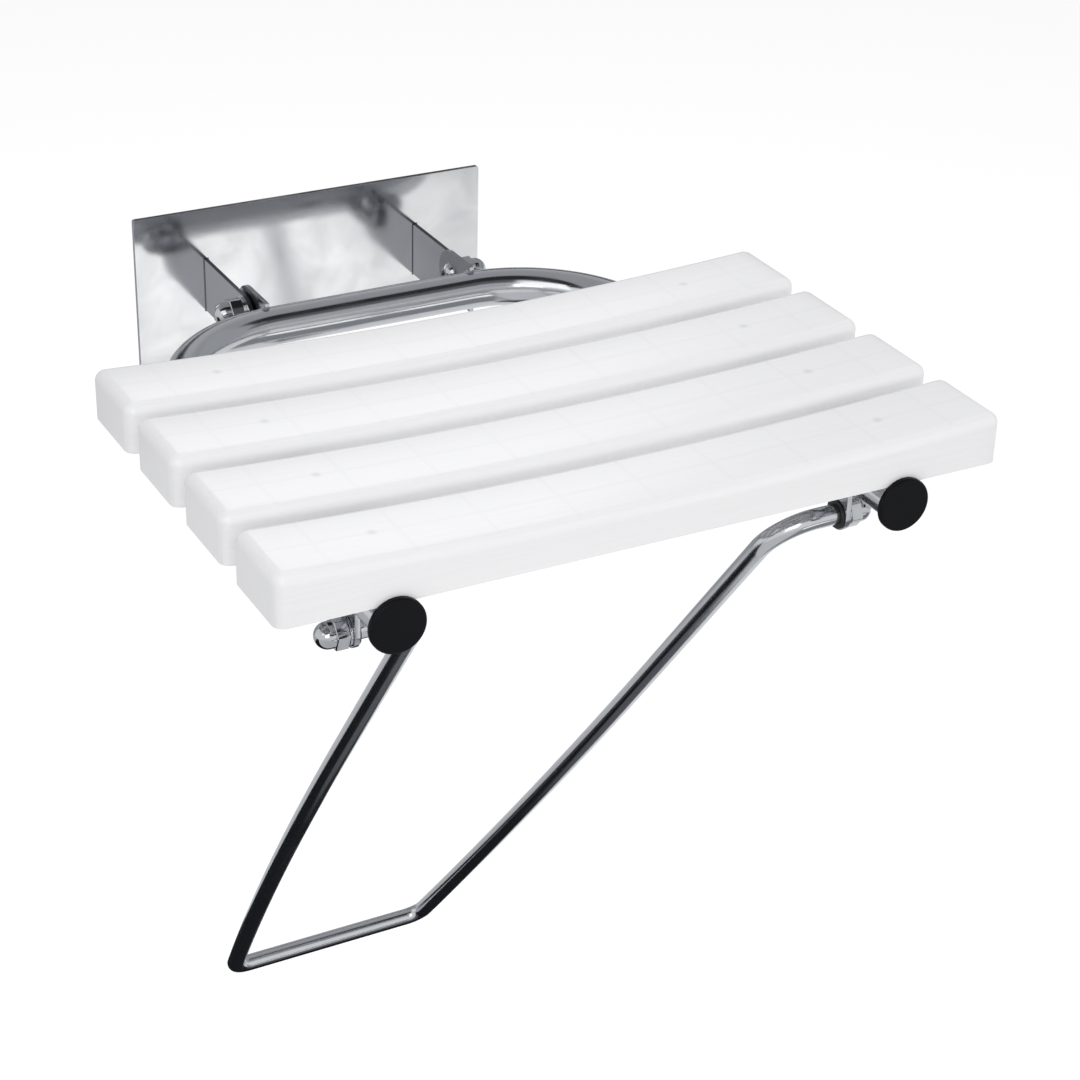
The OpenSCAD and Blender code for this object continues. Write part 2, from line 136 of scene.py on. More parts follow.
def bentBar(path, radius, sides=48, rim=0.5):
    # a bar along +X from the middle, turned in the XY plane by [straight, bend radius, turn] steps,
    # closed with a rounded rim and mirrored in X
    bm = bmesh.new()
    ring = bmesh.ops.create_circle(bm, cap_ends=False, radius=radius, segments=sides)["verts"]
    turnAbout(bm, ring, 90, "Y")
    edges = bm.edges[:]
    place, heading = Vector((0, 0, 0)), 0
    for straight, bend, turn in path:
        ahead = Vector((math.cos(math.radians(heading)), math.sin(math.radians(heading)), 0))
        if straight:
            made = bmesh.ops.extrude_edge_only(bm, edges=edges)["geom"]
            verts = {g for g in made if isinstance(g, bmesh.types.BMVert)}
            edges = [g for g in made if isinstance(g, bmesh.types.BMEdge) and set(g.verts) <= verts]
            bmesh.ops.translate(bm, verts=list(verts), vec=ahead * straight)
            place += ahead * straight
        if turn:
            side = Vector((-ahead.y, ahead.x, 0)) * (1 if turn > 0 else -1)
            centre = place + side * bend
            made = bmesh.ops.spin(bm, geom=edges, cent=centre, axis=(0, 0, 1), dvec=(0, 0, 0),
                                  angle=math.radians(turn), steps=24, use_merge=False)
            edges = [g for g in made["geom_last"] if isinstance(g, bmesh.types.BMEdge)]
            place = centre + Matrix.Rotation(math.radians(turn), 3, "Z") @ (place - centre)
            heading += turn
    face = bmesh.ops.contextual_create(bm, geom=edges)["faces"]
    softenEdges(bm, rim, edges=[e for f in face for e in f.edges], segments=3)
    bmesh.ops.mirror(bm, geom=bm.verts[:] + bm.edges[:] + bm.faces[:], matrix=Matrix.Identity(4),
                     merge_dist=0.001, axis="X")
    return bm


def toLinear(code):
    parts = [int(code[i:i + 2], 16) / 255 for i in (1, 3, 5)]
    return tuple(c / 12.92 if c <= 0.04045 else ((c + 0.055) / 1.055) ** 2.4 for c in parts) + (1.0,)


def addNode(tree, kind, settings=None, links=None):
    node = tree.nodes.new("ShaderNode" + kind)
    for name, value in (settings or {}).items():
        if isinstance(name, int) or name in node.inputs:
            node.inputs[name].default_value = value
        else:
            setattr(node, name, value)
    for name, socket in (links or {}).items():
        tree.links.new(socket, node.inputs[name])
    return node.outputs


def newMaterial(name, settings):
    material = bpy.data.materials.new(name)
    material.use_nodes = True
    tree = material.node_tree
    tree.nodes.clear()
    surface = addNode(tree, "BsdfPrincipled", settings)["BSDF"]
    addNode(tree, "OutputMaterial", links={"Surface": surface})
    return material, tree, surface.node.inputs


# Stainless tube, ground round and then buffed: bands of reflection with soft edges, a haze that
# comes and goes over the fine grain of the buffing, and the slow ripple of a ground tube
polishedTube = {"bright": "#CACCCF", "dull": "#BDBFC3", "hazePatch": 26, "grain": 0.7, "ripple": 16}
polishedSteel, tree, inputs = newMaterial("polishedStainlessTube", {"Metallic": 1.0})
spot = addNode(tree, "TexCoord")["Object"]
haze = addNode(tree, "TexNoise", {"Scale": 1 / (polishedTube["hazePatch"] * mm), "Detail": 3},
               {"Vector": spot})[0]
grain = addNode(tree, "TexNoise", {"Scale": 1 / (polishedTube["grain"] * mm), "Detail": 2},
                {"Vector": spot})[0]
ripple = addNode(tree, "TexNoise", {"Scale": 1 / (polishedTube["ripple"] * mm), "Detail": 1},
                 {"Vector": spot})[0]
tone = addNode(tree, "Mix", {"data_type": "RGBA", 6: toLinear(polishedTube["bright"]),
               7: toLinear(polishedTube["dull"])}, {"Factor": haze})[2]
clouded = addNode(tree, "MapRange", {"From Min": 0.3, "From Max": 0.7, "To Min": 0.11, "To Max": 0.18},
                  {"Value": haze})[0]
rough = addNode(tree, "MapRange", {"From Min": 0.3, "From Max": 0.7, "To Min": 0.0, "To Max": 0.03},
                {"Value": grain})[0]
rough = addNode(tree, "Math", {"operation": "ADD"}, {0: clouded, 1: rough})[0]
bump = addNode(tree, "Bump", {"Strength": 0.12, "Distance": 0.25 * mm}, {"Height": ripple})[0]
tree.links.new(tone, inputs["Base Color"])
tree.links.new(rough, inputs["Roughness"])
tree.links.new(bump, inputs["Normal"])

# Stainless sheet, rolled bright and wiped: a softer mirror than the tube, wavy where the sheet
# was pressed flat, with faint smears from handling
polishedSheet = {"bright": "#CCCDCF", "dull": "#BABBBE", "smear": 34, "wave": 45}
sheetSteel, tree, inputs = newMaterial("brightRolledStainlessSheet", {"Metallic": 1.0})
spot = addNode(tree, "TexCoord")["Object"]
smear = addNode(tree, "TexNoise", {"Scale": 1 / (polishedSheet["smear"] * mm), "Detail": 4,
                "Distortion": 0.6}, {"Vector": spot})[0]
wave = addNode(tree, "TexNoise", {"Scale": 1 / (polishedSheet["wave"] * mm), "Detail": 1},
               {"Vector": spot})[0]
tone = addNode(tree, "Mix", {"data_type": "RGBA", 6: toLinear(polishedSheet["bright"]),
               7: toLinear(polishedSheet["dull"])}, {"Factor": smear})[2]
rough = addNode(tree, "MapRange", {"From Min": 0.3, "From Max": 0.7, "To Min": 0.1, "To Max": 0.17},
                {"Value": smear})[0]
bump = addNode(tree, "Bump", {"Strength": 0.1, "Distance": 0.5 * mm}, {"Height": wave})[0]
tree.links.new(tone, inputs["Base Color"])
tree.links.new(rough, inputs["Roughness"])
tree.links.new(bump, inputs["Normal"])

# The same sheet laser cut to the ears: its faces are polished and the cut edges are left dark
earSheet = {"bright": "#CBCDD0", "dull": "#BFC1C5", "cut": "#4E5054", "smear": 30}
earSteel, tree, inputs = newMaterial("laserCutStainlessEar", {"Metallic": 1.0})
spot = addNode(tree, "TexCoord")["Object"]
facing = addNode(tree, "SeparateXYZ", links={"Vector": addNode(tree, "TexCoord")["Normal"]})["X"]
facing = addNode(tree, "Math", {"operation": "ABSOLUTE"}, {0: facing})[0]
facing = addNode(tree, "MapRange", {"From Min": 0.5, "From Max": 0.8}, {"Value": facing})[0]
smear = addNode(tree, "TexNoise", {"Scale": 1 / (earSheet["smear"] * mm), "Detail": 3}, {"Vector": spot})[0]
tone = addNode(tree, "Mix", {"data_type": "RGBA", 6: toLinear(earSheet["bright"]),
               7: toLinear(earSheet["dull"])}, {"Factor": smear})[2]
tone = addNode(tree, "Mix", {"data_type": "RGBA", 6: toLinear(earSheet["cut"])},
               {"Factor": facing, 7: tone})[2]
rough = addNode(tree, "MapRange", {"To Min": 0.36, "To Max": 0.12}, {"Value": facing})[0]
tree.links.new(tone, inputs["Base Color"])
tree.links.new(rough, inputs["Roughness"])

# Thick stainless lugs, pickled after welding: greyer than the tubes beside them
lugPlate = {"light": "#ACAEB2", "dark": "#989A9F", "cloud": 12}
lugSteel, tree, inputs = newMaterial("pickledStainlessLug", {"Metallic": 1.0})
spot = addNode(tree, "TexCoord")["Object"]
cloud = addNode(tree, "TexNoise", {"Scale": 1 / (lugPlate["cloud"] * mm), "Detail": 3}, {"Vector": spot})[0]
tone = addNode(tree, "Mix", {"data_type": "RGBA", 6: toLinear(lugPlate["light"]),
               7: toLinear(lugPlate["dark"])}, {"Factor": cloud})[2]
rough = addNode(tree, "MapRange", {"From Min": 0.3, "From Max": 0.7, "To Min": 0.12, "To Max": 0.2},
                {"Value": cloud})[0]
tree.links.new(tone, inputs["Base Color"])
tree.links.new(rough, inputs["Roughness"])

# Turned and pressed stainless hardware, tumbled bright: a little greyer, with fine marks round
# the path of the tool
hardware = {"bright": "#C4C6C9", "dark": "#A3A6AA", "cloud": 6, "mark": 1.5}
brightHardware, tree, inputs = newMaterial("tumbledStainlessHardware", {"Metallic": 1.0})
spot = addNode(tree, "TexCoord")["Object"]
cloud = addNode(tree, "TexNoise", {"Scale": 1 / (hardware["cloud"] * mm), "Detail": 3}, {"Vector": spot})[0]
stretched = addNode(tree, "Mapping", {"Scale": (4, 1, 1)}, {"Vector": spot})[0]
marks = addNode(tree, "TexNoise", {"Scale": 1 / (hardware["mark"] * mm), "Detail": 1},
                {"Vector": stretched})[0]
tone = addNode(tree, "Mix", {"data_type": "RGBA", 6: toLinear(hardware["bright"]),
               7: toLinear(hardware["dark"])}, {"Factor": cloud})[2]
rough = addNode(tree, "MapRange", {"From Min": 0.3, "From Max": 0.7, "To Min": 0.06, "To Max": 0.11},
                {"Value": marks})[0]
bump = addNode(tree, "Bump", {"Strength": 0.03, "Distance": 0.04 * mm}, {"Height": marks})[0]
tree.links.new(tone, inputs["Base Color"])
tree.links.new(rough, inputs["Roughness"])
tree.links.new(bump, inputs["Normal"])

# Cold rolled stainless plate left as it comes from the mill: satin, with a fine grain one way
mill = {"light": "#B9BBBE", "dark": "#9C9FA3", "grain": 0.8}
millSteel, tree, inputs = newMaterial("coldRolledStainlessPlate", {"Metallic": 1.0})
spot = addNode(tree, "TexCoord")["Object"]
stretched = addNode(tree, "Mapping", {"Scale": (0.04, 1, 1)}, {"Vector": spot})[0]
grain = addNode(tree, "TexNoise", {"Scale": 1 / (mill["grain"] * mm), "Detail": 4},
                {"Vector": stretched})[0]
tone = addNode(tree, "Mix", {"data_type": "RGBA", 6: toLinear(mill["light"]), 7: toLinear(mill["dark"])},
               {"Factor": grain})[2]
rough = addNode(tree, "MapRange", {"From Min": 0.3, "From Max": 0.7, "To Min": 0.28, "To Max": 0.42},
                {"Value": grain})[0]
bump = addNode(tree, "Bump", {"Strength": 0.2, "Distance": 0.05 * mm}, {"Height": grain})[0]
tree.links.new(tone, inputs["Base Color"])
tree.links.new(rough, inputs["Roughness"])
tree.links.new(bump, inputs["Normal"])

# Weld bead, brushed clean: duller metal with the small ripples of the pool
weld = {"colour": "#B4B6BA", "pool": 1.6}
weldSteel, tree, inputs = newMaterial("brushedWeldBead", {
    "Metallic": 1.0, "Base Color": toLinear(weld["colour"])})
spot = addNode(tree, "TexCoord")["Object"]
pool = addNode(tree, "TexNoise", {"Scale": 1 / (weld["pool"] * mm), "Detail": 2}, {"Vector": spot})[0]
rough = addNode(tree, "MapRange", {"From Min": 0.3, "From Max": 0.7, "To Min": 0.16, "To Max": 0.3},
                {"Value": pool})[0]
bump = addNode(tree, "Bump", {"Strength": 0.5, "Distance": 0.2 * mm}, {"Height": pool})[0]
tree.links.new(rough, inputs["Roughness"])
tree.links.new(bump, inputs["Normal"])

# Injection moulded polypropylene in white: soft gloss with flow streaks along the slat, and
# slight sinks in its top over the long rib, the cross ribs and the screw bosses, bumped and also darkened as
# painted shade
moulded = {"clean": "#F1F1F2", "shade": "#ECECEE", "ribSinkShade": "#ECECEE", "bossSinkShade": "#DCDCDF",
           "ribPitch": 48, "sinkWidth": 5, "bossSink": 4.4, "streak": 1.8, "orange": 2.5}
whitePlastic, tree, inputs = newMaterial("mouldedWhitePolypropylene", {"IOR": 1.49})
spot = addNode(tree, "TexCoord")["Object"]
along = addNode(tree, "SeparateXYZ", links={"Vector": addNode(tree, "UVMap", {"uv_map": "alongSlat"})[0]})
stretched = addNode(tree, "Mapping", {"Scale": (0.02, 1, 1)}, {"Vector": spot})[0]
flow = addNode(tree, "TexNoise", {"Scale": 1 / (moulded["streak"] * mm), "Detail": 1},
               {"Vector": stretched})[0]
orange = addNode(tree, "TexNoise", {"Scale": 1 / (moulded["orange"] * mm), "Detail": 2}, {"Vector": spot})[0]
fromRib = addNode(tree, "Math", {"operation": "PINGPONG", 1: moulded["ribPitch"] / 2 * mm},
                  {0: along["X"]})[0]
fromLine = addNode(tree, "Math", {"operation": "ABSOLUTE"}, {0: along["Y"]})[0]
fromSink = addNode(tree, "Math", {"operation": "MINIMUM"}, {0: fromRib, 1: fromLine})[0]
sink = addNode(tree, "MapRange", {"interpolation_type": "SMOOTHSTEP",
               "From Max": moulded["sinkWidth"] / 2 * mm}, {"Value": fromSink})[0]
tone = addNode(tree, "Mix", {"data_type": "RGBA", 6: toLinear(moulded["clean"]),
               7: toLinear(moulded["shade"])}, {"Factor": flow})[2]
# painted shade: the white is darkened along the rib sinks
tone = addNode(tree, "Mix", {"data_type": "RGBA", 6: toLinear(moulded["ribSinkShade"])},
               {"Factor": sink, 7: tone})[2]
fromMiddle = addNode(tree, "Math", {"operation": "ABSOLUTE"}, {0: along["X"]})[0]
mirrored = addNode(tree, "CombineXYZ", links={"X": fromMiddle, "Y": along["Y"]})[0]
fromBoss = addNode(tree, "VectorMath", {"operation": "DISTANCE", 1: (sideX * mm, 0, 0)},
                   {0: mirrored})["Value"]
bossEdge = addNode(tree, "MapRange", {"interpolation_type": "SMOOTHSTEP",
                   "From Max": moulded["bossSink"] * mm}, {"Value": fromBoss})[0]
# painted shade: darker dots over the screw boss sinks
tone = addNode(tree, "Mix", {"data_type": "RGBA", 6: toLinear(moulded["bossSinkShade"])},
               {"Factor": bossEdge, 7: tone})[2]
rough = addNode(tree, "MapRange", {"From Min": 0.3, "From Max": 0.7, "To Min": 0.24, "To Max": 0.27},
                {"Value": flow})[0]
bump = addNode(tree, "Bump", {"Strength": 0.25, "Distance": 0.05 * mm}, {"Height": sink})[0]
bump = addNode(tree, "Bump", {"Strength": 0.05, "Distance": 0.04 * mm},
               {"Height": orange, "Normal": bump})[0]
tree.links.new(tone, inputs["Base Color"])
tree.links.new(rough, inputs["Roughness"])
tree.links.new(bump, inputs["Normal"])

# Injection moulded polyethylene in black: satin, with a very fine spark grain
blackCap = {"body": "#090A0D", "worn": "#0E0F13", "spark": 0.7, "cloud": 9}
blackPlastic, tree, inputs = newMaterial("mouldedBlackPolyethylene", {
    "IOR": 1.51, "Specular IOR Level": 0.1})
spot = addNode(tree, "TexCoord")["Object"]
spark = addNode(tree, "TexNoise", {"Scale": 1 / (blackCap["spark"] * mm), "Detail": 2}, {"Vector": spot})[0]
cloud = addNode(tree, "TexNoise", {"Scale": 1 / (blackCap["cloud"] * mm), "Detail": 2}, {"Vector": spot})[0]
tone = addNode(tree, "Mix", {"data_type": "RGBA", 6: toLinear(blackCap["body"]),
               7: toLinear(blackCap["worn"])}, {"Factor": cloud})[2]
rough = addNode(tree, "MapRange", {"From Min": 0.3, "From Max": 0.7, "To Min": 0.34, "To Max": 0.48},
                {"Value": cloud})[0]
bump = addNode(tree, "Bump", {"Strength": 0.35, "Distance": 0.08 * mm}, {"Height": spark})[0]
tree.links.new(tone, inputs["Base Color"])
tree.links.new(rough, inputs["Roughness"])
tree.links.new(bump, inputs["Normal"])

# Turned polyamide in black: duller than the caps, with faint marks from the lathe
nylon = {"body": "#161618", "mark": "#202023", "cut": 0.5}
blackNylon, tree, inputs = newMaterial("turnedBlackPolyamide", {"IOR": 1.53})
spot = addNode(tree, "TexCoord")["Object"]
cut = addNode(tree, "TexNoise", {"Scale": 1 / (nylon["cut"] * mm), "Detail": 2}, {"Vector": spot})[0]
tone = addNode(tree, "Mix", {"data_type": "RGBA", 6: toLinear(nylon["body"]), 7: toLinear(nylon["mark"])},
               {"Factor": cut})[2]
rough = addNode(tree, "MapRange", {"From Min": 0.3, "From Max": 0.7, "To Min": 0.45, "To Max": 0.6},
                {"Value": cut})[0]
bump = addNode(tree, "Bump", {"Strength": 0.25, "Distance": 0.05 * mm}, {"Height": cut})[0]
tree.links.new(tone, inputs["Base Color"])
tree.links.new(rough, inputs["Roughness"])
tree.links.new(bump, inputs["Normal"])
print("materials made")


coverPlate = {"edge": 0.5}
ear = {"edge": 0.3}
frameLug = {"edge": 0.35}
strutLug = {"edge": 0.35}

bm = nodeCopy("wall_plate")
keepPiece(bm, "wallPlate", millSteel, "wall", ["wall_plate"])
bm = nodeCopy("cover_plate")
softenEdges(bm, coverPlate["edge"])
keepPiece(bm, "coverPlate", sheetSteel, "wall", ["cover_plate"], weighted=True)
for side in ("left", "right"):
    for node, made, material, body, edge in (("ear_", "Ear", earSteel, "wall", ear["edge"]),
                                             ("frame_lug_", "FrameLug", lugSteel, "seat", frameLug["edge"]),
                                             ("strut_lug_", "StrutLug", lugSteel, "seat", strutLug["edge"])):
        bm = nodeCopy(node + side)
        softenEdges(bm, edge)
        keepPiece(bm, side + made, material, body, [node + side], weighted=True)
print("plates, ears and lugs made")


strutTube = {"radius": 6.35, "footBend": 14, "bowRadius": 5500, "topBend": 28, "stub": 13,
             "leanTop": 1.2, "leanFoot": 6.1, "length": 686}

path = [[sideX - seatTube["bend"], seatTube["bend"], -90], [tubeY - seatTube["bend"] - tubeLow.y, 0, 0]]
bm = bentBar(path, seatTube["radius"])
bmesh.ops.translate(bm, verts=bm.verts, vec=(0, tubeY, tubeZ))
keepPiece(bm, "seatTube", polishedSteel, "seat", ["seat_tube"])

footTurn = 90 - strutTube["leanFoot"]
topTurn = 90 - strutTube["leanTop"]
turns = [(strutTube["footBend"], 0, footTurn), (strutTube["bowRadius"], footTurn, topTurn)]
risen = sum(r * (math.cos(math.radians(a)) - math.cos(math.radians(b))) for r, a, b in turns)
topRise = strutTube["topBend"] * (1 - math.cos(math.radians(topTurn)))
legLine = (strutTube["length"] - risen - topRise) / math.sin(math.radians(topTurn))
spread = sum(r * (math.sin(math.radians(b)) - math.sin(math.radians(a))) for r, a, b in turns)
spread += legLine * math.cos(math.radians(topTurn)) + strutTube["topBend"] * math.sin(math.radians(topTurn))
footLine = boxOf("strut_tube")[1].x - strutTube["stub"] - spread
path = [[footLine, strutTube["footBend"], footTurn], [0, strutTube["bowRadius"], topTurn - footTurn],
        [legLine, strutTube["topBend"], -topTurn], [strutTube["stub"], 0, 0]]
bm = bentBar(path, strutTube["radius"], 36)
bmesh.ops.translate(bm, verts=bm.verts, vec=(0, -strutTube["length"], 0))
turnAbout(bm, bm.verts, 90 + strutLean, "X")
bmesh.ops.translate(bm, verts=bm.verts, vec=(0, pivot.y, pivot.z))
keepPiece(bm, "strutTube", polishedSteel, "strut", ["strut_tube"])
print("tubes bent")


welds = {"bead": 1.3, "first": -172, "last": -8}


def weldBead(centre, rim):
    # a bead round a tube along X, between two angles that are measured from the top
    bend = math.radians(welds["last"] - welds["first"])
    bm = bmesh.new()
    ring = bmesh.ops.create_circle(bm, cap_ends=True, radius=welds["bead"], segments=12)["verts"]
    edges = bm.edges[:]
    turnAbout(bm, ring, 90, "X")
    bmesh.ops.translate(bm, verts=ring, vec=(0, 0, rim))
    turnAbout(bm, ring, welds["first"], "X")
    made = bmesh.ops.spin(bm, geom=edges, cent=(0, 0, 0), axis=(1, 0, 0), dvec=(0, 0, 0),
                          angle=bend, steps=20, use_merge=False)
    bmesh.ops.contextual_create(bm, geom=[g for g in made["geom_last"] if isinstance(g, bmesh.types.BMEdge)])
    bmesh.ops.translate(bm, verts=bm.verts, vec=centre)
    return bm


for side, sign in (("left", -1), ("right", 1)):
    low, high = boxOf("frame_lug_" + side)
    for face, x in (("Inner", low.x if sign > 0 else high.x), ("Outer", high.x if sign > 0 else low.x)):
        bm = weldBead((x, tubeY, tubeZ), seatTube["radius"])
        keepPiece(bm, side + "LugWeld" + face, weldSteel, "seat")
print("weld beads laid")


hingeBolt = {"edge": 0.25}
strutStud = {"edge": 0.15}
washers = {"edge": 0.2}
bushes = {"edge": 0.15}
slatScrew = {"edge": 0.3}
acorn = {"flats": 17, "hexHeight": 8, "total": 18, "domeRadius": 7.8, "chamfer": 0.8, "chamferShare": 0.6,
         "edge": 0.35, "domeSunk": 0.5, "hingeTwist": 14, "strutTwist": 8}


def acornNut(name, at, turn, body, node, twist):
    # it stands on the XY plane while it grows, and is then laid along X
    bm = bmesh.new()
    corner = acorn["flats"] / 2 / math.cos(math.radians(30))
    small, rise = corner - acorn["chamfer"], acorn["chamfer"] * acorn["chamferShare"]
    bmesh.ops.create_circle(bm, cap_ends=True, radius=small, segments=6)
    top = bm.faces[:]
    for height, radius in ((rise, corner), (acorn["hexHeight"] - rise, corner), (acorn["hexHeight"], small)):
        made = bmesh.ops.extrude_face_region(bm, geom=top)
        top = [g for g in made["geom"] if isinstance(g, bmesh.types.BMFace)]
        verts = [v for f in top for v in f.verts]
        bmesh.ops.translate(bm, verts=verts, vec=(0, 0, height - verts[0].co.z))
        grow = radius / verts[0].co.xy.length
        bmesh.ops.scale(bm, verts=verts, vec=(grow, grow, 1))
    softenEdges(bm, acorn["edge"], angle=25)
    for degrees, axis in ((twist, "Z"), (90, "Y"), (turn, "Z")):
        turnAbout(bm, bm.verts, degrees, axis)
    bmesh.ops.translate(bm, verts=bm.verts, vec=at)
    spring, sunk = acorn["total"] - acorn["domeRadius"], acorn["hexHeight"] - acorn["domeSunk"]
    dome = [(sunk, 0), (sunk, acorn["domeRadius"])] + arc(spring, 0, acorn["domeRadius"], 90, 0, 16)
    lathe(bm, dome, at, turn)
    keepPiece(bm, name, brightHardware, body, [node])


for side, sign in (("left", -1), ("right", 1)):
    for made, node, body, axis, twist in (("HingeNut", "hinge_nut_", "wall", hinge, acorn["hingeTwist"]),
                                          ("StrutNut", "strut_nut_", "strut", pivot, acorn["strutTwist"])):
        low, high = boxOf(node + side)
        seatX = low.x if sign > 0 else high.x
        acornNut(side + made, (seatX, axis.y, axis.z), 0 if sign > 0 else 180, body, node + side, twist)
    for made, node, body, slot, material, edge in (
            ("HingeBolt", "hinge_bolt_", "wall", "polished_steel", brightHardware, hingeBolt["edge"]),
            ("StrutStud", "strut_stud_", "strut", "brushed_steel", millSteel, strutStud["edge"])):
        bm = nodeCopy(node + side)
        softenEdges(bm, edge, angle=50)
        keepPiece(bm, side + made, material, body, [node + side])


for name, node, body, material, slot, edge in (
        ("hingeWashers", "hinge_washers", "wall", brightHardware, "polished_steel", washers["edge"]),
        ("strutWashers", "strut_washers", "strut", brightHardware, "polished_steel", washers["edge"]),
        ("hingeBushes", "hinge_bushes", "seat", blackNylon, "black_plastic", bushes["edge"]),
        ("strutBushes", "strut_bushes", "seat", blackNylon, "black_plastic", bushes["edge"]),
        ("slatScrews", "slat_screws", "seat", brightHardware, "brushed_steel", slatScrew["edge"])):
    bm = nodeCopy(node)
    softenEdges(bm, edge, angle=50)
    keepPiece(bm, name, material, body, [node], smooth=40)
print("hardware made")


endCap = {"thick": 4, "rim": 1.6, "back": 0.4, "crown": 0.5, "crownRadius": 13.3, "shank": 9.6,
          "shankLength": 4}
for side in ("left", "right"):
    low, high = boxOf("end_cap_" + side)
    radius, rim, crownRadius = (high.x - low.x) / 2, endCap["rim"], endCap["crownRadius"]
    profile = [(-endCap["shankLength"], 0), (-endCap["shankLength"], endCap["shank"]), (0, endCap["shank"])]
    profile += [(0, radius - endCap["back"]), (endCap["back"], radius)]
    profile += arc(endCap["thick"] - rim, radius - rim, rim, 90, 0, 6)
    profile += [(endCap["thick"] + endCap["crown"] * (1 - (r / crownRadius) ** 2), r)
                for r in (crownRadius, 11, 8.5, 6, 3.5, 0)]
    bm = bmesh.new()
    lathe(bm, profile, ((low.x + high.x) / 2, tubeLow.y, tubeZ), -90)
    keepPiece(bm, side + "EndCap", blackPlastic, "seat", ["end_cap_" + side], smooth=40)
print("end caps made")


slat = {"round": 7, "dish": 7, "skin": 3, "rib": 2, "ribPitch": 48, "ribDrop": 2, "ribs": 4, "boss": 6,
        "bossDrop": 0.6, "intoSkin": 0.5, "intoWall": 0.6}


def makeSlat(number):
    low, high = boxOf("slat_%d" % number)
    size, middle = high - low, (high + low) / 2
    half, hollow = size.x / 2, 2 * slat["skin"] - slat["intoWall"]

    def dishAt(x):
        return slat["dish"] * (1 - (min(abs(x), half) / half) ** 2)

    bm = bmesh.new()
    bmesh.ops.create_cube(bm, size=1)
    bmesh.ops.scale(bm, verts=bm.verts, vec=size)
    bmesh.ops.translate(bm, verts=bm.verts, vec=(0, 0, size.z / 2))
    rounded = [e for e in bm.edges if max(v.co.z for v in e.verts) > 1]
    bmesh.ops.bevel(bm, geom=rounded, offset=slat["round"], affect="EDGES", segments=8, profile=0.5,
                    material=-1, clamp_overlap=True)
    bmesh.ops.delete(bm, geom=[f for f in bm.faces if f.normal.z < -0.9], context="FACES_ONLY")
    long = [e for e in bm.edges if abs(e.verts[0].co.x - e.verts[1].co.x) > half]
    bmesh.ops.subdivide_edges(bm, edges=long, cuts=59, use_grid_fill=True)
    for vert in bm.verts:
        if vert.co.z > 1:
            vert.co.z -= dishAt(vert.co.x)
    bmesh.ops.recalc_face_normals(bm, faces=bm.faces)
    bmesh.ops.solidify(bm, geom=bm.faces[:], thickness=slat["skin"])

    inner = bmesh.new()  # ribs and screw bosses, run a little into the skin above them

    def toSkin(verts, bottom):
        for vert in verts:
            under = size.z - dishAt(vert.co.x) - slat["skin"] + slat["intoSkin"]
            vert.co.z = under if vert.co.z > 0 else bottom

    bmesh.ops.create_cube(inner, size=1)
    long = [e for e in inner.edges if e.verts[0].co.x != e.verts[1].co.x]
    bmesh.ops.subdivide_edges(inner, edges=long, cuts=23, use_grid_fill=True)
    bmesh.ops.scale(inner, verts=inner.verts, vec=(size.x - hollow, slat["rib"], 1))
    toSkin(inner.verts, slat["ribDrop"])
    for n in range(-slat["ribs"], slat["ribs"] + 1):
        verts = bmesh.ops.create_cube(inner, size=1)["verts"]
        bmesh.ops.scale(inner, verts=verts, vec=(slat["rib"], size.y - hollow, 1))
        bmesh.ops.translate(inner, verts=verts, vec=(n * slat["ribPitch"], 0, 0))
        toSkin(verts, slat["ribDrop"])
    for sign in (-1, 1):
        verts = bmesh.ops.create_cone(inner, cap_ends=True, segments=32, radius1=slat["boss"],
                                      radius2=slat["boss"], depth=1)["verts"]
        bmesh.ops.translate(inner, verts=verts, vec=(sign * sideX, 0, 0))
        toSkin(verts, slat["bossDrop"])
    ribMesh = bpy.data.meshes.new("slatRibs")
    inner.to_mesh(ribMesh)
    inner.free()
    bm.from_mesh(ribMesh)
    bpy.data.meshes.remove(ribMesh)
    layer = bm.loops.layers.uv.new("alongSlat")
    for face in bm.faces:
        for loop in face.loops:  # only the top shows sinks, the rest is laid midway between the ribs
            place = loop.vert.co.xy if face.normal.z > 0.95 else (slat["ribPitch"] / 2, slat["ribPitch"] / 4)
            loop[layer].uv = [c * mm for c in place]
    bmesh.ops.translate(bm, verts=bm.verts, vec=(middle.x, middle.y, low.z))
    keepPiece(bm, "slat%d" % number, whitePlastic, "seat", ["slat_%d" % number], smooth=40)


for number in range(1, 5):
    makeSlat(number)
print("slats moulded")


studio = {"floorZ": -0.78, "floorSize": 14, "ambient": 0.74, "floorColour": "#F2F2F2", "floorGlow": 0.28}
painted, tree, inputs = newMaterial("paintedStudioFloor", {
    "Base Color": toLinear(studio["floorColour"]), "Roughness": 0.9, "Specular IOR Level": 0.0,
    "Emission Color": (1, 1, 1, 1)})
path = addNode(tree, "LightPath")
seen = addNode(tree, "Math", {"operation": "MAXIMUM"},
               {0: path["Is Camera Ray"], 1: path["Is Glossy Ray"]})[0]
seen = addNode(tree, "Math", {"operation": "MAXIMUM"}, {0: seen, 1: path["Is Transmission Ray"]})[0]
glow = addNode(tree, "Math", {"operation": "MULTIPLY", 1: studio["floorGlow"]}, {0: seen})[0]
tree.links.new(glow, inputs["Emission Strength"])
under = addNode(tree, "NewGeometry")["Backfacing"]
clear = addNode(tree, "BsdfTransparent")[0]
output = tree.nodes["Material Output"]
paint = output.inputs["Surface"].links[0].from_socket
surface = addNode(tree, "MixShader", links={0: under, 1: paint, 2: clear})[0]
tree.links.new(surface, output.inputs["Surface"])
bm = bmesh.new()
bmesh.ops.create_grid(bm, x_segments=1, y_segments=1, size=studio["floorSize"] / 2)
bmesh.ops.translate(bm, verts=bm.verts, vec=(0, 0, studio["floorZ"]))
mesh = bpy.data.meshes.new("studioFloor")
bm.to_mesh(mesh)
bm.free()
mesh.materials.append(painted)
floor = bpy.data.objects.new("studioFloor", mesh)
scene.collection.objects.link(floor)

